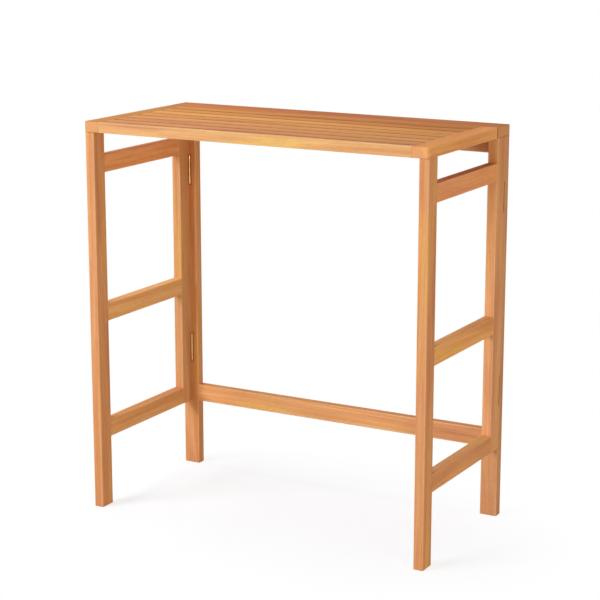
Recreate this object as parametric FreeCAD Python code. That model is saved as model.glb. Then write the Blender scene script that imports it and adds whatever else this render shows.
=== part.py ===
import FreeCAD, Part
import os
from FreeCAD import Placement, Rotation, Vector

# A folding pub table in oiled hardwood with brass hinges. A standing rear frame carries a narrow
# rear board. Two ladder-shaped gates hinge on the rear legs and hold up a slatted top, which is
# hinged along the rear board. Millimetres: X along the width, Y from front to rear, Z up from the
# floor, origin on the floor under the middle. Right-hand pieces are modelled, left ones mirrored.

# Overall sizes
table_height = 1040.0
frame_width = 975.0  # across the outer faces of the legs
leg_spread = 449.2  # front face of a front leg to front face of a rear leg
top_overhang_side = 1.0
top_overhang_front = 4.0

# Timber sections
board_thickness = 27.4  # slatted top and rear board
gate_thickness = 26.0  # gate members, seen from the front
gate_member_width = 46.5  # gate legs and stiles, seen from the side
gate_rail_height = 46.5
rear_leg_width = 46.5
rear_leg_thickness = 26.0
rear_rail_setback = 1.0  # from the faces of the rear legs
stretcher_height = 47.5
upper_rail_height = 45.5
timber_ease = 1.5  # radius worked along the long edges of the frame timber
foot_chamfer = 1.0

# Places of the rails
bottom_rail_rise = 188.0  # of the bottom rails and the rear stretcher above the floor
top_rail_drop = 63.2  # of the top rails below the slatted top
middle_rail_share = 0.4455  # of the way up from bottom rail to top rail

# Slatted top
end_rail_width = 45.0
front_rail_depth = 15.0
rear_rail_depth = 62.0
slat_count = 6
slat_gap = 8.0
slat_ease = 0.8  # beside the gaps
slat_thickness = 16.0
batten_width = 45.0
top_corner_radius = 9.0
top_joint_ease = 2.0  # where an end rail meets the front and rear rails
top_ease = 1.6

# Clearances
hinge_gap = 0.4  # stile to rear leg
leaf_gap = 2.0  # slatted top to rear board
seat_gap = 0.4  # top of a gate to the wood above it
joint_clearance = 0.1  # round a tenon or a hinge leaf let into wood
glue_space = 1.0  # beyond the end of a tenon
screw_clearance = 0.1
pin_clearance = 0.05
knuckle_clearance = 0.3
knuckle_play = 0.15  # at each end of a knuckle
cut_overrun = 2.0

# Mortise and tenon joints
gate_tenon_length = 28.0
gate_tenon_thickness = 9.0
gate_tenon_shoulder = 6.0
rear_tenon_length = 28.0
rear_tenon_thickness = 8.0
rear_tenon_shoulder = 6.0
stub_tenon_height = 12.0
stub_tenon_shoulder = 8.0
top_tenon_length = 12.0
top_tenon_thickness = 7.0
top_tenon_shoulder = 3.5

# Butt hinges
gate_hinge_length = 80.0
top_hinge_length = 64.0
leaf_width = 20.0
leaf_thickness = 1.6
knuckle_radius = 3.1
knuckle_count = 5
pin_radius = 1.5
pin_end = 0.8  # of the pin beyond the knuckles
pin_proud = 1.0  # of the pin's axis beyond the inner face of the stile
upper_hinge_drop = 7.0  # below the top rail
lower_hinge_rise = 71.0  # above the bottom rail
top_hinge_inset = 188.0  # of a hinge's middle from the end of the top

# Countersunk brass screws
screw_head_radius = 3.2
screw_shank_radius = 1.6
screw_head_depth = 2.0
screw_head_land = 0.3  # straight rim of the head
screw_tip = 3.0
screw_slot_width = 0.8
screw_slot_depth = 0.7
leaf_screw_length = 15.0
batten_screw_length = 20.0
# Along the width and the length of a leaf, from the pin and from the middle
leaf_screw_shares = ((0.58, -0.36), (0.72, 0.0), (0.58, 0.36))

# Places worked out from the sizes
half_frame = frame_width / 2
half_top = half_frame + top_overhang_side
gate_inner = half_frame - gate_thickness
rear_leg_inner = half_frame - rear_leg_width
table_depth = top_overhang_front + leg_spread + rear_leg_thickness
top_front = -table_depth / 2
front_leg_front = top_front + top_overhang_front
front_leg_rear = front_leg_front + gate_member_width
rear_leg_front = front_leg_front + leg_spread
rear_face = rear_leg_front + rear_leg_thickness
stile_rear = rear_leg_front - hinge_gap
stile_front = stile_rear - gate_member_width
rear_board_front = stile_front
top_rear = rear_board_front - leaf_gap
underside = table_height - board_thickness
gate_top = underside - seat_gap
top_rail_rise = underside - top_rail_drop - gate_rail_height
middle_rail_rise = bottom_rail_rise + middle_rail_share * (top_rail_rise - bottom_rail_rise)
upper_hinge_height = top_rail_rise - upper_hinge_drop - gate_hinge_length / 2
lower_hinge_height = bottom_rail_rise + gate_rail_height + lower_hinge_rise + gate_hinge_length / 2
end_rail_inner = half_top - end_rail_width
slat_underside = table_height - slat_thickness
slats_front = top_front + front_rail_depth
slats_rear = top_rear - rear_rail_depth
slat_depth = (slats_rear - slats_front - (slat_count + 1) * slat_gap) / slat_count
gate_pin = Vector(gate_inner - pin_proud, rear_leg_front - hinge_gap / 2, 0)
top_hinge_offset = half_top - top_hinge_inset
top_pin_y = rear_board_front - leaf_gap / 2
top_pin_z = underside - knuckle_radius - knuckle_clearance

along_x = Vector(1, 0, 0)
along_y = Vector(0, 1, 0)
along_z = Vector(0, 0, 1)
middle = Vector(0, 0, 0)
full_turn = 360
parallel_share = 0.99  # of two unit directions that count as one


def block(x_span, y_span, z_span):
    """A box between two places along each axis."""
    spans = (x_span, y_span, z_span)
    return Part.makeBox(*(high - low for low, high in spans), Vector(*(low for low, high in spans)))


def grown(span, margin):
    """A span made longer by the same margin at both ends."""
    return span[0] - margin, span[1] + margin


def edges_along(solid, direction):
    """The straight edges that run along a direction."""
    return [
        edge for edge in solid.Edges
        if abs(edge.tangentAt(edge.FirstParameter) * direction) > parallel_share
    ]


def timber(x_span, y_span, z_span, direction):
    """A planed bar with its four long edges eased."""
    bar = block(x_span, y_span, z_span)
    return bar.makeFillet(timber_ease, edges_along(bar, direction))


def footed(leg):
    """A leg with the rim of its foot broken by a small chamfer."""
    rim = [edge for edge in leg.Edges if edge.BoundBox.ZMax < foot_chamfer]
    return leg.makeChamfer(foot_chamfer, rim)


def mirrored(shape):
    """The left-hand twin of a right-hand piece."""
    return shape.mirror(middle, along_x)


def rod(radius, low, high):
    """A round bar on the Z axis."""
    return Part.makeCylinder(radius, high - low, Vector(0, 0, low), along_z)


def turned(points):
    """A solid of revolution about Y from (radius, place) points."""
    outline = [Vector(radius, place, 0) for radius, place in points]
    face = Part.Face(Part.makePolygon(outline + outline[:1]))
    return face.revolve(middle, along_y, full_turn)


# Screws

def screw_form(length, margin, lead):
    """A countersunk screw along +Y with its head face at 0, grown by a margin, head led on by a lead."""
    head = screw_head_radius + margin
    shank = screw_shank_radius + margin
    end = length + margin
    return turned([
        (0, -lead), (head, -lead), (head, screw_head_land), (shank, screw_head_depth + margin),
        (shank, end - screw_tip), (0, end),
    ])


def screw(length):
    """A slotted wood screw."""
    slot = block(
        (-screw_head_radius, screw_head_radius),
        (-cut_overrun, screw_slot_depth),
        (-screw_slot_width / 2, screw_slot_width / 2),
    )
    return screw_form(length, 0, 0).cut(slot)


def screw_hole(length):
    """The hole that a screw stands in."""
    return screw_form(length, screw_clearance, cut_overrun)


# Butt hinges, in a frame of their own: pin on Z, closed, both leaves reaching +X

def hinge_leaf(length, offset, first_knuckle):
    """A leaf on the +Y side of the pin, with every second knuckle and its screw holes."""
    half = length / 2
    pitch = length / knuckle_count
    plate_span = (offset, offset + leaf_thickness)
    notch = (0, knuckle_radius + knuckle_clearance)
    leaf = block((0, leaf_width), plate_span, (-half, half))
    for index in range(knuckle_count):
        low = index * pitch - half
        span = (low, low + pitch)
        if index % 2 == first_knuckle:
            leaf = leaf.fuse(rod(knuckle_radius, *grown(span, -knuckle_play)))
        else:
            leaf = leaf.cut(block(notch, plate_span, grown(span, knuckle_play)))
    leaf = leaf.cut(rod(pin_radius + pin_clearance, -half - cut_overrun, half + cut_overrun))
    for hole in at_leaf_screws(screw_hole(leaf_screw_length), length, offset):
        leaf = leaf.cut(hole)
    return leaf.removeSplitter()


def at_leaf_screws(shape, length, offset):
    """Copies of a shape at the screw places of a leaf on the +Y side."""
    return [
        shape.translated(Vector(across * leaf_width, offset, along * length))
        for across, along in leaf_screw_shares
    ]


def hinge_pin(length):
    """The pin, with both ends broken by a small chamfer."""
    half = length / 2 + pin_end
    pin = rod(pin_radius, -half, half)
    return pin.makeChamfer(pin_end / 2, [edge for edge in pin.Edges if edge.Closed])


def leaf_recess(length, offset):
    """What a leaf on the +Y side and the knuckles take out of the wood, run out at its outer face."""
    span = (-length / 2, length / 2)
    reach = pin_proud + gate_thickness + cut_overrun
    depth = (offset - cut_overrun, offset + leaf_thickness)
    seat = block((0, reach), depth, grown(span, joint_clearance))
    groove = rod(knuckle_radius + knuckle_clearance, *grown(span, pin_end + knuckle_clearance))
    cut = seat.fuse(groove)
    for hole in at_leaf_screws(screw_hole(leaf_screw_length), length, offset):
        cut = cut.fuse(hole)
    return cut


def facing(shape):
    """The same shape on the -Y side of the pin."""
    return shape.mirror(middle, along_y)


def on_gate(shape, height):
    """A hinge piece moved to the right-hand gate's pin."""
    return shape.translated(gate_pin + Vector(0, 0, height))


def on_top(shape, place):
    """A hinge piece turned flat under the joint of top and rear board, pin along X."""
    turned_shape = shape.copy()
    turn = Rotation(along_y, along_z, along_x)
    turned_shape.Placement = Placement(Vector(place, top_pin_y, top_pin_z), turn).multiply(shape.Placement)
    return turned_shape


def opened(shape):
    """A piece on the +Y side swung over to reach -X."""
    return shape.mirror(middle, along_x)


gate_hinges = {"upper": upper_hinge_height, "lower": lower_hinge_height}
gate_leaf_offset = hinge_gap / 2
top_leaf_offset = knuckle_radius + knuckle_clearance - leaf_thickness


# Rear frame

rear_rail_span = grown((rear_leg_front, rear_face), -rear_rail_setback)
rear_rails = {
    "rear_stretcher": (bottom_rail_rise, bottom_rail_rise + stretcher_height),
    "upper_rear_rail": (underside - upper_rail_height, underside),
}


def rear_tenon(z_span, margin, spare):
    """A rear rail's right-hand tenon, or its mortise with a margin and a spare depth."""
    centre = sum(rear_rail_span) / 2
    half = rear_tenon_thickness / 2 + margin
    x_span = (rear_leg_inner, rear_leg_inner + rear_tenon_length + spare)
    return block(x_span, (centre - half, centre + half), grown(z_span, margin - rear_tenon_shoulder))


def stub_tenon(margin, spare):
    """The tenon on top of the right rear leg, or its mortise in the rear board."""
    x_span = grown((rear_leg_inner, half_frame), margin - stub_tenon_shoulder)
    y_span = grown((rear_leg_front, rear_face), margin - stub_tenon_shoulder)
    return block(x_span, y_span, (underside, underside + stub_tenon_height + spare))


def rear_leg():
    leg = timber((rear_leg_inner, half_frame), (rear_leg_front, rear_face), (0, underside), along_z)
    leg = footed(leg).fuse(stub_tenon(0, 0))
    for z_span in rear_rails.values():
        leg = leg.cut(rear_tenon(z_span, joint_clearance, glue_space))
    for height in gate_hinges.values():
        leg = leg.cut(on_gate(leaf_recess(gate_hinge_length, gate_leaf_offset), height))
    return leg


def rear_rail(z_span):
    rail = timber((-rear_leg_inner, rear_leg_inner), rear_rail_span, z_span, along_x)
    tenon = rear_tenon(z_span, 0, 0)
    return rail.fuse(tenon).fuse(mirrored(tenon))


def rear_board():
    board = block((-half_frame, half_frame), (rear_board_front, rear_face), (underside, table_height))
    board = board.makeFillet(top_ease, board.Edges)
    mortise = stub_tenon(joint_clearance, glue_space)
    board = board.cut(mortise).cut(mirrored(mortise))
    for hole in at_leaf_screws(screw_hole(leaf_screw_length), top_hinge_length, top_leaf_offset):
        placed = on_top(hole, top_hinge_offset)
        board = board.cut(placed).cut(mirrored(placed))
    return board


# Gates

gate_x = (gate_inner, half_frame)
gate_rails = {
    "top_rail": (top_rail_rise, top_rail_rise + gate_rail_height),
    "middle_rail": (middle_rail_rise, middle_rail_rise + gate_rail_height),
    "bottom_rail": (bottom_rail_rise, bottom_rail_rise + gate_rail_height),
}


def gate_tenons(z_span, margin, spare):
    """Both tenons of a gate rail, as one long bar, or their mortises."""
    centre = sum(gate_x) / 2
    half = gate_tenon_thickness / 2 + margin
    y_span = grown((front_leg_rear, stile_front), gate_tenon_length + spare)
    return block((centre - half, centre + half), y_span, grown(z_span, margin - gate_tenon_shoulder))


def front_leg():
    leg = footed(timber(gate_x, (front_leg_front, front_leg_rear), (0, gate_top), along_z))
    for z_span in gate_rails.values():
        leg = leg.cut(gate_tenons(z_span, joint_clearance, glue_space))
    return leg


def rear_stile():
    stile = timber(gate_x, (stile_front, stile_rear), (bottom_rail_rise, gate_top), along_z)
    for z_span in gate_rails.values():
        stile = stile.cut(gate_tenons(z_span, joint_clearance, glue_space))
    for height in gate_hinges.values():
        stile = stile.cut(on_gate(facing(leaf_recess(gate_hinge_length, gate_leaf_offset)), height))
    return stile


def gate_rail(z_span):
    rail = timber(gate_x, (front_leg_rear, stile_front), z_span, along_y)
    return rail.fuse(gate_tenons(z_span, 0, 0))


# Slatted top

slat_pitch = slat_depth + slat_gap
slat_fronts = [slats_front + slat_gap + index * slat_pitch for index in range(slat_count)]
top_bars = {
    "top_front_rail": ((top_front, slats_front), underside, (top_ease, slat_ease)),
    "top_rear_rail": ((slats_rear, top_rear), underside, (slat_ease, top_ease)),
}
for number, front in enumerate(slat_fronts, 1):
    top_bars[f"top_slat_{number}"] = ((front, front + slat_depth), slat_underside, (slat_ease, slat_ease))


def top_tenons(y_span, margin, spare):
    """Both tenons of a bar of the top, as one long bar, or their mortises."""
    centre = (slat_underside + table_height) / 2
    half = top_tenon_thickness / 2 + margin
    reach = end_rail_inner + top_tenon_length + spare
    y_tenon = grown(y_span, margin - top_tenon_shoulder)
    return block((-reach, reach), y_tenon, (centre - half, centre + half))


def top_bar(y_span, low, eases):
    """A bar of the top, with its front and its rear edges eased by a radius each."""
    bar = block((-end_rail_inner, end_rail_inner), y_span, (low, table_height))
    for side, ease in zip(y_span, eases):
        edges = [edge for edge in edges_along(bar, along_x) if abs(edge.CenterOfMass.y - side) < slat_ease]
        bar = bar.makeFillet(ease, edges)
    return bar.fuse(top_tenons(y_span, 0, 0))


def end_rail():
    rail = block((end_rail_inner, half_top), (top_front, top_rear), (underside, table_height))
    centre = end_rail_inner + end_rail_width / 2
    inner = [edge for edge in edges_along(rail, along_z) if edge.CenterOfMass.x < centre]
    rail = rail.makeFillet(top_joint_ease, inner)
    corners = [edge for edge in edges_along(rail, along_z) if edge.CenterOfMass.x > centre]
    rail = rail.makeFillet(top_corner_radius, corners)
    rim = [edge for edge in rail.Edges if edge.BoundBox.ZLength < top_ease]
    rail = rail.makeFillet(top_ease, rim)
    for y_span, low, eases in top_bars.values():
        rail = rail.cut(top_tenons(y_span, joint_clearance, glue_space))
    return rail


def batten_screw_places():
    """Under the middle of every slat, with the screws driven upwards."""
    upwards = Rotation(along_y, along_z)
    return [Placement(Vector(0, front + slat_depth / 2, underside), upwards) for front in slat_fronts]


def at_places(shape, places):
    """Copies of a shape, one at each place."""
    copies = []
    for place in places:
        copy = shape.copy()
        copy.Placement = place
        copies.append(copy)
    return copies


def cut_all(shape, tools):
    """A shape with a list of tools taken out of it."""
    for tool in tools:
        shape = shape.cut(tool)
    return shape


batten_screw_holes = at_places(screw_hole(batten_screw_length), batten_screw_places())


def batten():
    half = batten_width / 2
    bar = block((-half, half), (slats_front, slats_rear), (underside, slat_underside))
    return cut_all(bar, batten_screw_holes)


def top_leaf_holes():
    """The holes of the top's own hinge leaves, both sides."""
    holes = at_leaf_screws(screw_hole(leaf_screw_length), top_hinge_length, top_leaf_offset)
    placed = [on_top(opened(hole), top_hinge_offset) for hole in holes]
    return placed + [mirrored(hole) for hole in placed]


# Putting the table together

pieces = {"rear_board": rear_board()}
for name, z_span in rear_rails.items():
    pieces[name] = rear_rail(z_span)
for name, bar in top_bars.items():
    pieces[name] = cut_all(top_bar(*bar), batten_screw_holes)
pieces["top_rear_rail"] = cut_all(pieces["top_rear_rail"], top_leaf_holes())
pieces["top_batten"] = batten()
pieces["batten_screws"] = Part.makeCompound(at_places(screw(batten_screw_length), batten_screw_places()))

right_hand = {"rear_{}_leg": rear_leg(), "{}_front_leg": front_leg(), "{}_rear_stile": rear_stile()}
for name, z_span in gate_rails.items():
    right_hand["{}_" + name] = gate_rail(z_span)
right_hand["top_{}_end_rail"] = end_rail()

leg_leaf = hinge_leaf(gate_hinge_length, gate_leaf_offset, 0)
stile_leaf = facing(hinge_leaf(gate_hinge_length, gate_leaf_offset, 1))
leg_screws = at_leaf_screws(screw(leaf_screw_length), gate_hinge_length, gate_leaf_offset)
stile_screws = [facing(one) for one in leg_screws]
for name, height in gate_hinges.items():
    right_hand["{}_" + name + "_hinge_leg_leaf"] = on_gate(leg_leaf, height)
    right_hand["{}_" + name + "_hinge_stile_leaf"] = on_gate(stile_leaf, height)
    right_hand["{}_" + name + "_hinge_pin"] = on_gate(hinge_pin(gate_hinge_length), height)
right_hand["{}_stile_leaf_screws"] = Part.makeCompound(
    [on_gate(one, height) for height in gate_hinges.values() for one in stile_screws]
)

board_leaf = hinge_leaf(top_hinge_length, top_leaf_offset, 0)
top_leaf = opened(hinge_leaf(top_hinge_length, top_leaf_offset, 1))
right_hand["{}_top_hinge_board_leaf"] = on_top(board_leaf, top_hinge_offset)
right_hand["{}_top_hinge_top_leaf"] = on_top(top_leaf, top_hinge_offset)
right_hand["{}_top_hinge_pin"] = on_top(hinge_pin(top_hinge_length), top_hinge_offset)

for name, shape in right_hand.items():
    pieces[name.format("right")] = shape
    pieces[name.format("left")] = mirrored(shape)

leaf_screws = at_leaf_screws(screw(leaf_screw_length), top_hinge_length, top_leaf_offset)
paired_screws = {
    "leg_leaf_screws": [on_gate(one, height) for height in gate_hinges.values() for one in leg_screws],
    "board_leaf_screws": [on_top(one, top_hinge_offset) for one in leaf_screws],
    "top_leaf_screws": [on_top(opened(one), top_hinge_offset) for one in leaf_screws],
}
for name, screws in paired_screws.items():
    pieces[name] = Part.makeCompound(screws + [mirrored(one) for one in screws])

os.makedirs("parts", exist_ok=True)
for name, shape in pieces.items():
    shape.exportStep(f"parts/{name}.step")
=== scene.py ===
import math

import bpy
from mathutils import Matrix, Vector


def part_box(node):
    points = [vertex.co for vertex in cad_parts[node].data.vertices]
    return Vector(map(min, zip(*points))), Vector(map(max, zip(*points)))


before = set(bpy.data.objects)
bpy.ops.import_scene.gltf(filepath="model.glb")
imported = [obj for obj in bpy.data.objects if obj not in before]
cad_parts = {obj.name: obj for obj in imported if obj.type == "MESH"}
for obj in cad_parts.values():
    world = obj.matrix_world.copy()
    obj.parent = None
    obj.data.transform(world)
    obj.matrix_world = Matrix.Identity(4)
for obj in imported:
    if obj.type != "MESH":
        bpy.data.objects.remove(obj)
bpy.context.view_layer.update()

# Rear legs
# Two planed hardwood posts, 47 by 26 mm, stand behind the gates and carry the rear board on
# stub tenons. They are sawn along the grain, sanded, and wiped with a warm oil.


def paint(red, green, blue):
    """A colour as it looks on screen, 0 to 255 a channel, as the linear values that light needs."""
    shares = (red / 255, green / 255, blue / 255)
    return tuple(s / 12.92 if s < 0.04045 else ((s + 0.055) / 1.055) ** 2.4 for s in shares) + (1.0,)


def put(tree, kind, feeds, output=0, **settings):
    """Adds one shader node. Each feed is a plain value or another node's socket. Gives back one output."""
    made = tree.nodes.new("ShaderNode" + kind)
    for setting, value in settings.items():
        setattr(made, setting, value)
    for socket, feed in feeds.items():
        if isinstance(feed, bpy.types.NodeSocket):
            tree.links.new(feed, made.inputs[socket])
        else:
            made.inputs[socket].default_value = feed
    return made.outputs[output]


def sums(tree, operation, first, second=0.0):
    """One step of arithmetic on two numbers."""
    return put(tree, "Math", {0: first, 1: second}, operation=operation)


def eased(tree, value, low, high, start=0.0, end=1.0):
    """A smooth step from start to end while the value goes from low to high."""
    feeds = {"Value": value, "From Min": low, "From Max": high, "To Min": start, "To Max": end}
    return put(tree, "MapRange", feeds, interpolation_type="SMOOTHSTEP")


def blended(tree, share, under, over):
    """The under colour with a share of the over colour laid on it."""
    return put(tree, "Mix", {0: share, 6: under, 7: over}, output=2, data_type="RGBA")


def grain_noise(tree, place, scale, detail=2.0, roughness=0.5):
    """Smooth noise between 0 and 1 over a place."""
    feeds = {"Vector": place, "Scale": scale, "Detail": detail, "Roughness": roughness}
    return put(tree, "TexNoise", feeds)


def squeezed(tree, place, shares):
    """A place with its axes multiplied by shares. A small share draws noise out along that axis."""
    return put(tree, "VectorMath", {0: place, 1: shares}, operation="MULTIPLY")


def length_of(tree, vector):
    """The length of a vector."""
    return put(tree, "VectorMath", {0: vector}, output="Value", operation="LENGTH")


def turned_to(tree, normal, direction):
    """1 where a surface faces the direction, 0 where it faces across it, -1 where it faces away."""
    return put(tree, "VectorMath", {0: normal, 1: direction}, output="Value", operation="DOT_PRODUCT")


def coordinates(tree, vector):
    """The three coordinates of a vector."""
    made = tree.nodes.new("ShaderNodeSeparateXYZ")
    tree.links.new(vector, made.inputs[0])
    return made.outputs[0], made.outputs[1], made.outputs[2]


grain_turn = {"X": (0, math.pi / 2, 0), "Y": (-math.pi / 2, 0, 0), "Z": (0, 0, 0)}
grain_axis = {"X": (1, 0, 0), "Y": (0, 1, 0), "Z": (0, 0, 1)}

# The size of each pattern in the grain, in cells a metre
cells = {"wander": 9, "patches": 22, "cloud": 26, "bands": 105, "lines": 260, "streaks": 430,
         "fibre": 1500, "pores": 2300}

# How much of each colour is laid over the wood where its pattern is strongest; the pin and seat shares lay
# painted shade
strength = {"gold": 0.80, "rose": 0.75, "streaks": 0.46, "cloud": 0.26, "fibre": 0.18, "pores": 0.34,
            "lines": 0.24, "sawn end": 0.60, "pin shade": 0.75, "seat shade": 0.45}


def oiled_board(node, grain, pith, lean, tone_and_painted_light, painted_shade_sides=(), painted_shade_share=0.62, pins=(), gloss=0.14):
    """Oiled hardwood for one board, in a log of its own, with a tone in red, green and blue that is its
    own colour with painted light and shade in it.

    The rings are noise over the distance from the pith, a line that runs beside the board, so a
    face shows streaks along the grain and an end shows arcs. The pith is placed in metres from the
    board's middle, and leans by radians. Fibres and pores are noise that is drawn out along the
    grain, with broad golden and rosy patches and a few dark mineral streaks. Arrises and sawn ends
    are paler. Painted shade darkens the given sides, which face a narrow gap or lie under the top,
    the wood round a hinge pin, and the open end of the hinge's seat.
    """
    low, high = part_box(node)
    centre = (low + high) / 2
    half = (high - low) / 2
    across = {"X": (half.z, half.y, half.x), "Y": (half.x, half.z, half.y), "Z": tuple(half)}[grain]
    turn = grain_turn[grain]
    made = bpy.data.materials.new("oiled " + node)
    made.use_nodes = True
    tree = made.node_tree
    shader = tree.nodes["Principled BSDF"]
    place = tree.nodes.new("ShaderNodeTexCoord").outputs

    # The log, with its pith line turned a little from the board's own length
    ring_wander = 0.02
    ring_drift = 0.012
    turned = (turn[0] + lean[0], turn[1] + lean[1], turn[2])
    heart = centre + Vector(pith)
    log = put(tree, "Mapping", {0: place["Object"], 1: heart, 2: turned}, vector_type="TEXTURE")
    wander = grain_noise(tree, squeezed(tree, log, (1, 1, 0.16)), cells["wander"])
    radius = length_of(tree, squeezed(tree, log, (1, 1, 0)))
    radius = sums(tree, "ADD", radius, sums(tree, "MULTIPLY", wander, ring_wander))
    slow = sums(tree, "MULTIPLY", coordinates(tree, log)[2], ring_drift)
    rings = put(tree, "CombineXYZ", {0: radius, 1: slow, 2: heart.length})

    # Sawn ends, on which the rings show only faintly
    end_calm = 0.8
    end_facing = turned_to(tree, place["Normal"], grain_axis[grain])
    end_grain = eased(tree, sums(tree, "ABSOLUTE", end_facing), 0.7, 0.95)
    plain = sums(tree, "SUBTRACT", 1.0, sums(tree, "MULTIPLY", end_grain, end_calm))

    # Patterns over the rings and along the fibres
    drawn = squeezed(tree, log, (1, 1, 0.02))
    bands = eased(tree, grain_noise(tree, rings, cells["bands"], 2.0), 0.36, 0.66)
    bands = sums(tree, "MULTIPLY", bands, plain)
    streaks = eased(tree, grain_noise(tree, rings, cells["streaks"], 3.0, 0.6), 0.42, 0.72)
    streaks = sums(tree, "MULTIPLY", streaks, plain)
    cloud = grain_noise(tree, squeezed(tree, log, (1, 1, 0.2)), cells["cloud"])
    fibre = grain_noise(tree, drawn, cells["fibre"], 2.0, 0.6)
    pores = eased(tree, grain_noise(tree, drawn, cells["pores"], 1.0), 0.60, 0.74)
    patches = grain_noise(tree, squeezed(tree, log, (1, 1, 0.11)), cells["patches"], 1.0)
    lines = eased(tree, grain_noise(tree, rings, cells["lines"], 1.0), 0.60, 0.70)
    lines = sums(tree, "MULTIPLY", lines, eased(tree, wander, 0.50, 0.62))
    lines = sums(tree, "MULTIPLY", lines, plain)

    # Worn arrises, by the distance to the nearest long edge from the board's own half sizes
    rubbed_bare = 0.0008
    rubbed_reach = 0.0036
    own = put(tree, "Mapping", {0: place["Object"], 1: centre, 2: turn}, vector_type="TEXTURE")
    inward = put(tree, "VectorMath", {0: own}, operation="ABSOLUTE")
    inward = put(tree, "VectorMath", {0: across, 1: inward}, operation="SUBTRACT")
    from_side, from_face = coordinates(tree, inward)[:2]
    from_arris = sums(tree, "MAXIMUM", from_side, from_face)
    rubbed = eased(tree, from_arris, rubbed_bare, rubbed_reach, 1.0, 0.0)
    rubbed = sums(tree, "MULTIPLY", rubbed, eased(tree, cloud, 0.34, 0.62, 0.15, 0.6))

    def toned_with_painted_light(red, green, blue):
        """A colour of the wood in the board's own tone, with painted light and shade in it."""
        return Vector(paint(red, green, blue)) * Vector(tuple(tone_and_painted_light) + (1.0,))

    honey = toned_with_painted_light(236, 175, 123)
    amber = toned_with_painted_light(224, 153, 99)
    russet = toned_with_painted_light(205, 131, 78)
    umber = toned_with_painted_light(120, 56, 28)
    pale = toned_with_painted_light(239, 188, 135)
    gold = toned_with_painted_light(239, 183, 105)
    rose = toned_with_painted_light(204, 134, 98)
    sawn = paint(230, 169, 116)
    colour = blended(tree, bands, honey, amber)
    colour = blended(tree, eased(tree, patches, 0.30, 0.48, strength["gold"], 0.0), colour, gold)
    colour = blended(tree, eased(tree, patches, 0.52, 0.70, 0.0, strength["rose"]), colour, rose)
    colour = blended(tree, sums(tree, "MULTIPLY", streaks, strength["streaks"]), colour, russet)
    colour = blended(tree, eased(tree, cloud, 0.30, 0.70, 0.0, strength["cloud"]), colour, russet)
    colour = blended(tree, eased(tree, fibre, 0.30, 0.75, 0.0, strength["fibre"]), colour, russet)
    colour = blended(tree, sums(tree, "MULTIPLY", pores, strength["pores"]), colour, umber)
    colour = blended(tree, sums(tree, "MULTIPLY", lines, strength["lines"]), colour, umber)
    colour = blended(tree, rubbed, colour, pale)
    colour = blended(tree, sums(tree, "MULTIPLY", end_grain, strength["sawn end"]), colour, sawn)
    # Painted shade in umber on the given sides, which face a narrow gap or lie under the top
    for side in painted_shade_sides:
        facing = turned_to(tree, place["Normal"], side)
        colour = blended(tree, eased(tree, facing, 0.15, 0.55, 0.0, painted_shade_share), colour, umber)

    # Painted shade round the hinge pins and in the open ends of the seats, in metres from the pin
    pin_shade_from = 0.0040
    pin_shade_to = 0.0072
    pin_shade_past_pin = 0.004
    seat_end_from = 0.0225
    seat_end_to = 0.0250
    seat_depth_from = 0.0019
    seat_depth_to = 0.0023
    seat_shade_past_leaf = 0.0006
    for pin in pins:
        foot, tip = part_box(pin)
        base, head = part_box(pin.replace("pin", "leg_leaf"))
        half_pin = (tip - foot).z / 2
        half_leaf = (head - base).z / 2
        from_pin = put(tree, "VectorMath", {0: place["Object"], 1: (foot + tip) / 2}, operation="SUBTRACT")
        from_axis = length_of(tree, squeezed(tree, from_pin, (1, 1, 0)))
        away = put(tree, "VectorMath", {0: from_pin}, operation="ABSOLUTE")
        aside, behind, above = coordinates(tree, away)
        beside_pin = eased(tree, above, half_pin, half_pin + pin_shade_past_pin, 1.0, 0.0)
        beside_leaf = eased(tree, above, half_leaf, half_leaf + seat_shade_past_leaf, 1.0, 0.0)
        in_seat = eased(tree, behind, seat_depth_from, seat_depth_to, 1.0, 0.0)
        # Painted shade round the pin
        pin_shade = eased(tree, from_axis, pin_shade_from, pin_shade_to, strength["pin shade"], 0.0)
        pin_shade = sums(tree, "MULTIPLY", pin_shade, beside_pin)
        # Painted shade in the open end of the hinge's seat
        seat_shade = eased(tree, aside, seat_end_from, seat_end_to, 0.0, strength["seat shade"])
        seat_shade = sums(tree, "MULTIPLY", sums(tree, "MULTIPLY", seat_shade, in_seat), beside_leaf)
        colour = blended(tree, sums(tree, "MAXIMUM", pin_shade, seat_shade), colour, umber)
    tree.links.new(colour, shader.inputs["Base Color"])

    # Sheen and relief: fibres and pores lie a fifth of a millimetre deep at most
    smoother = 0.6 * gloss
    end_roughness = 0.14
    sheen = eased(tree, fibre, 0.25, 0.75, 0.66 - smoother, 0.78 - smoother)
    sheen = sums(tree, "ADD", sheen, sums(tree, "MULTIPLY", end_grain, end_roughness))
    tree.links.new(sheen, shader.inputs["Roughness"])
    shader.inputs["Specular IOR Level"].default_value = gloss
    relief = sums(tree, "SUBTRACT", sums(tree, "MULTIPLY", fibre, 0.5), pores)
    relief = sums(tree, "SUBTRACT", relief, sums(tree, "MULTIPLY", streaks, 0.3))
    bump = put(tree, "Bump", {"Strength": 0.22, "Distance": 0.0002, "Height": relief})
    tree.links.new(bump, shader.inputs["Normal"])
    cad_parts[node].data.materials.clear()
    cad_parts[node].data.materials.append(made)


left_pins = ["left_upper_hinge_pin", "left_lower_hinge_pin"]
right_pins = ["right_upper_hinge_pin", "right_lower_hinge_pin"]
# The three numbers after the lean are each board's tone, which holds painted light and shade as well as
# its own colour
oiled_board("rear_left_leg", "Z", (0.058, 0.054, 0.25), (0.006, -0.010),
            (0.99, 0.96, 0.88), pins=left_pins)
oiled_board("rear_right_leg", "Z", (0.056, 0.046, -0.45), (-0.008, 0.007),
            (0.88, 0.89, 0.93), pins=right_pins)

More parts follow.
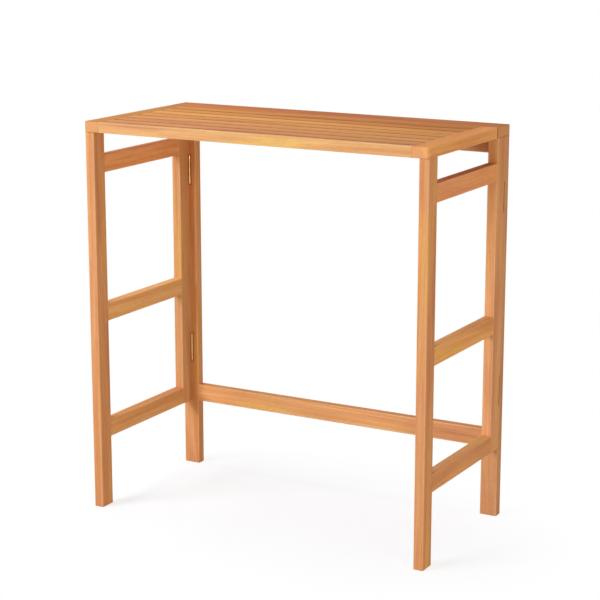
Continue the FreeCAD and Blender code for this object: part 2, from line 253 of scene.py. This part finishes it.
# Rear rails
# A stretcher low down and a rail under the rear board join the two legs. Each is a board on
# edge, 24 mm thick, with a tenon at both ends, a hair inside the faces of the legs.

# Tones above 1 on these rails are painted light where the lamps light them less
oiled_board("rear_stretcher", "X", (-0.77, 0.031, -0.057), (0.004, 0.012), (1.15, 1.24, 1.17))
oiled_board("upper_rear_rail", "X", (0.45, 0.044, 0.061), (-0.006, 0.008), (1.15, 1.24, 1.24))

# Rear board
# One board, 27 mm thick, sits across both rear legs and stays up when the top is let down. Its
# edges are rounded over, and the hinged top meets it along its front.

matt = 0.02
# The rear board's tone, well below 1, holds painted shade
oiled_board("rear_board", "X", (0.68, 0.047, -0.118), (0.010, 0.006), (0.74, 0.61, 0.60), gloss=matt)

# Gate legs and stiles
# Each gate has a front leg down to the floor and a stile beside the rear leg, both 26 by 47 mm,
# with mortises for the three rails and shallow seats for the hinge leaves.

# These tones hold painted light and shade as well as the wood's own colour
oiled_board("left_front_leg", "Z", (0.043, -0.063, -0.49), (0.008, 0.006), (0.94, 0.92, 0.89))
oiled_board("right_front_leg", "Z", (-0.064, -0.058, 0.87), (-0.007, 0.009), (0.95, 0.91, 0.90))
oiled_board("left_rear_stile", "Z", (0.094, 0.032, 0.21), (0.005, -0.009),
            (0.91, 0.92, 0.87), pins=left_pins)
oiled_board("right_rear_stile", "Z", (0.073, 0.088, 0.09), (0.010, 0.004),
            (1.02, 1.03, 1.05), pins=right_pins)

# Gate rails
# Three rails, 26 by 47 mm, are glued into each gate with tenons, flush with the legs on both
# sides, so that the gates fold flat in front of the rear frame.

to_top = (0, 0, 1)
# Painted shade on the top faces of the top rails, which lie in the shade under the tabletop
ledge_painted_shade = 0.25
# Tones above 1 on the gate rails are painted light
oiled_board("left_top_rail", "Y", (-0.094, -0.32, 0.05), (0.006, 0.004),
            (1.15, 1.03, 0.89), [to_top], ledge_painted_shade)
oiled_board("left_middle_rail", "Y", (-0.062, -0.33, 0.094), (0.007, -0.006), (1.15, 1.24, 1.24))
oiled_board("left_bottom_rail", "Y", (-0.052, 0.2, -0.1), (-0.009, 0.005), (1.05, 1.09, 0.98))
oiled_board("right_top_rail", "Y", (-0.104, -0.56, 0.054), (0.008, 0.009),
            (1.10, 0.94, 0.93), [to_top], ledge_painted_shade)
oiled_board("right_middle_rail", "Y", (0.063, 0.38, -0.087), (-0.006, 0.010), (1.15, 1.19, 0.95))
oiled_board("right_bottom_rail", "Y", (0.076, -0.87, -0.082), (0.009, 0.006), (1.06, 1.07, 0.97))

# Slatted top
# Two end rails, a narrow front rail and a wide rear rail make the rim, and six slats lie between
# them with gaps of 8 mm. The outer corners are rounded, and the bars are tenoned into the ends.

# The sides of the slats and of the front and rear rails that face the gaps get painted shade
to_front = (0, -1, 0)
to_rear = (0, 1, 0)
# The tones of the top's rims hold painted light and shade as well as the wood's own colour
oiled_board("top_left_end_rail", "Y", (0.072, -0.26, -0.081), (0.007, 0.008),
            (0.76, 0.77, 0.61), gloss=matt)
oiled_board("top_right_end_rail", "Y", (0.066, 0.77, -0.097), (-0.008, 0.007),
            (1.15, 1.12, 1.01), gloss=matt)
oiled_board("top_front_rail", "X", (0.24, -0.056, 0.045), (0.006, 0.004),
            (1.00, 1.14, 1.11), [to_rear], gloss=matt)
oiled_board("top_rear_rail", "X", (0.09, -0.087, -0.127), (0.008, -0.006),
            (0.82, 0.73, 0.61), [to_front], gloss=matt)

# Pith, lean, and tone with painted light and shade in it, of each slat, from the front
slat_logs = [
    ((0.7, -0.053, -0.081), (0.009, 0.005), (0.91, 0.90, 0.97)),
    ((0.39, 0.06, -0.106), (-0.006, 0.008), (0.94, 0.95, 0.97)),
    ((-0.65, -0.056, -0.113), (0.010, -0.005), (0.99, 1.00, 0.92)),
    ((0.81, 0.064, -0.085), (0.005, 0.010), (0.95, 0.92, 0.85)),
    ((-0.45, -0.081, -0.06), (-0.009, 0.006), (1.04, 1.07, 0.83)),
    ((-0.15, 0.062, -0.083), (0.007, 0.009), (0.86, 0.81, 0.68)),
]
for number, (pith, lean, tone_and_painted_light) in enumerate(slat_logs, start=1):
    oiled_board(f"top_slat_{number}", "X", pith, lean, tone_and_painted_light, [to_front, to_rear], gloss=matt)

# Slat batten
# A thin planed board of the same oiled hardwood lies under the middle of the top and ties the
# slats together. It is fixed from below with one brass screw into each slat.

oiled_board("top_batten", "Y", (0.066, 0.1, 0.060), (0.006, -0.005), (0.95, 0.95, 0.95))

# Hinges
# Brass butt hinges, pressed from sheet with rolled knuckles, are let into the stiles and the rear
# legs, and two more are screwed flat under the joint of the top. Pins are drawn brass wire.


def satin_brass(name, draw, shine, tarnish):
    """Satin brass: fine lines along the way that it was drawn, and soft browner tarnish patches."""
    line_cells = 2600
    patch_cells = 70
    line_roughness = 0.14
    patch_roughness = 0.10
    made = bpy.data.materials.new(name)
    made.use_nodes = True
    tree = made.node_tree
    shader = tree.nodes["Principled BSDF"]
    place = tree.nodes.new("ShaderNodeTexCoord").outputs["Object"]
    lines = grain_noise(tree, squeezed(tree, place, draw), line_cells, 2.0)
    patches = eased(tree, grain_noise(tree, place, patch_cells, 3.0, 0.6), 0.42, 0.70)
    bright = paint(224, 180, 116)
    browned = paint(164, 116, 62)
    scored = paint(196, 152, 84)
    colour = blended(tree, sums(tree, "MULTIPLY", patches, tarnish), bright, browned)
    colour = blended(tree, eased(tree, lines, 0.35, 0.70, 0.0, 0.20), colour, scored)
    tree.links.new(colour, shader.inputs["Base Color"])
    shader.inputs["Metallic"].default_value = 1.0
    rough = eased(tree, lines, 0.25, 0.75, shine, shine + line_roughness)
    rough = sums(tree, "ADD", rough, sums(tree, "MULTIPLY", patches, patch_roughness))
    tree.links.new(rough, shader.inputs["Roughness"])
    bump = put(tree, "Bump", {"Strength": 0.15, "Distance": 0.0001, "Height": lines})
    tree.links.new(bump, shader.inputs["Normal"])
    return made


def finish_with(material, nodes):
    """Puts one material on the nodes."""
    for node in nodes:
        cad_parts[node].data.materials.clear()
        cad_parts[node].data.materials.append(material)


sides = ("left", "right")
heights = ("upper", "lower")
gate_leaves = [f"{side}_{height}_hinge_{on}_leaf"
               for side in sides for height in heights for on in ("leg", "stile")]
top_leaves = [f"{side}_top_hinge_{on}_leaf" for side in sides for on in ("board", "top")]
top_pins = [f"{side}_top_hinge_pin" for side in sides]
finish_with(satin_brass("rolled brass upright", (1, 1, 0.05), 0.30, 0.45), gate_leaves)
finish_with(satin_brass("rolled brass lying", (0.05, 1, 1), 0.30, 0.45), top_leaves)
finish_with(satin_brass("drawn brass upright", (1, 1, 0.02), 0.22, 0.30), left_pins + right_pins)
finish_with(satin_brass("drawn brass lying", (0.02, 1, 1), 0.22, 0.30), top_pins)

# Screws
# Slotted countersunk brass screws, turned on a lathe, hold every hinge leaf and the batten. Their
# heads are driven level with the brass or the wood around them.

finish_with(
    satin_brass("turned brass", (1, 1, 1), 0.26, 0.60),
    ["leg_leaf_screws", "board_leaf_screws", "left_stile_leaf_screws", "right_stile_leaf_screws",
     "top_leaf_screws", "batten_screws"],
)

# Floor
# A pale studio floor that runs out to white. The eye sees it as white with the table's faint soft
# shadow, while light bounces off it as off a matt pale board.

reach = 9
floor_corners = [(-reach, -reach, 0), (reach, -reach, 0), (reach, reach, 0), (-reach, reach, 0)]
floor_mesh = bpy.data.meshes.new("studio floor")
floor_mesh.from_pydata(floor_corners, [], [(0, 1, 2, 3)])
floor = bpy.data.objects.new("studio_floor", floor_mesh)
bpy.context.scene.collection.objects.link(floor)
pale_floor = bpy.data.materials.new("pale floor")
pale_floor.use_nodes = True
floor_tree = pale_floor.node_tree
floor_tree.nodes.remove(floor_tree.nodes["Principled BSDF"])


def seen_rays(tree):
    """1 for what the camera sees straight, in a reflection or through glass, and 0 for scattered light."""
    path = tree.nodes.new("ShaderNodeLightPath").outputs
    seen = sums(tree, "MAXIMUM", path["Is Camera Ray"], path["Is Glossy Ray"])
    return sums(tree, "MAXIMUM", seen, path["Is Transmission Ray"])


pure_white = (1, 1, 1, 1)
shadow_middle = (-0.05, -0.08, 0)
shadow_spread = (0.75, 0.5, 1)
pale_matt = put(floor_tree, "BsdfDiffuse", {"Color": (0.60, 0.60, 0.60, 1)})
shadow_catch = put(floor_tree, "BsdfDiffuse", {"Color": (0.37, 0.385, 0.41, 1)})
glow = put(floor_tree, "Emission", {"Color": pure_white, "Strength": 0.71})
lit = put(floor_tree, "AddShader", {0: shadow_catch, 1: glow})
white = put(floor_tree, "Emission", {"Color": pure_white, "Strength": 1.0})
floor_place = floor_tree.nodes.new("ShaderNodeTexCoord").outputs["Object"]
under_table = put(floor_tree, "Mapping", {0: floor_place, 1: shadow_middle, 3: shadow_spread},
                  vector_type="TEXTURE")
fade = eased(floor_tree, length_of(floor_tree, under_table), 0.5, 1.2)
lit = put(floor_tree, "MixShader", {0: fade, 1: lit, 2: white})
floor_look = put(floor_tree, "MixShader", {0: seen_rays(floor_tree), 1: pale_matt, 2: lit})
floor_tree.links.new(floor_look, floor_tree.nodes["Material Output"].inputs["Surface"])
floor_mesh.materials.append(pale_floor)

# Light
# Three soft lamps in an even, slightly warm room: a large cool one in front on the left, a warm
# one low and far off on the right, and a weak one above the left part of the top.


def soft_box(name, place, aim, width, height, power, tint):
    """A flat rectangular lamp at a place, turned to face the aim."""
    lamp = bpy.data.lights.new(name, "AREA")
    lamp.shape = "RECTANGLE"
    lamp.size = width
    lamp.size_y = height
    lamp.energy = power
    lamp.color = tint
    made = bpy.data.objects.new(name, lamp)
    made.location = place
    made.rotation_euler = (Vector(aim) - Vector(place)).to_track_quat("-Z", "Y").to_euler()
    bpy.context.scene.collection.objects.link(made)


table_middle = (0, 0, 0.6)
top_middle = (0.0, 0.0, 1.04)
soft_box("front soft box", (-3.1, -4.45, 3.1), table_middle,
         width=3.2, height=2.8, power=250, tint=(0.97, 1.0, 1.11))
soft_box("right soft box", (7.6, -4.3, 0.9), table_middle,
         width=4.0, height=1.5, power=260, tint=(1.0, 0.93, 0.76))
soft_box("top soft box", (-0.8, 0.1, 2.6), top_middle,
         width=1.0, height=0.8, power=13, tint=(1.0, 0.99, 0.92))

room = bpy.data.worlds.new("white room")
bpy.context.scene.world = room
room.use_nodes = True
room_tree = room.node_tree
room_light = put(room_tree, "Background", {"Color": (1, 0.95, 0.86, 1), "Strength": 0.34})
room_white = put(room_tree, "Background", {"Color": pure_white, "Strength": 1.0})
room_look = put(room_tree, "MixShader", {0: seen_rays(room_tree), 1: room_light, 2: room_white})
room_tree.links.new(room_look, room_tree.nodes["World Output"].inputs["Surface"])

# Camera
# A long lens to the right of the table and above its top, tilted down without shift, so that the
# view comes near the photograph's and the table stays in the frame from every other side.

sensor_width = 36
frame_pixels = 600
focal_pixels = 1796.58
tilt_down = 12.953
turn_left = 29.252
lens = bpy.data.cameras.new("camera")
lens.sensor_width = sensor_width
lens.lens = focal_pixels * sensor_width / frame_pixels
lens.clip_end = 100
camera = bpy.data.objects.new("camera", lens)
camera.location = (2.23833, -3.97355, 1.62542)
camera.rotation_euler = (math.radians(90 - tilt_down), 0, math.radians(turn_left))
bpy.context.scene.collection.objects.link(camera)
bpy.context.scene.camera = camera
bpy.context.scene.view_settings.view_transform = "Standard"
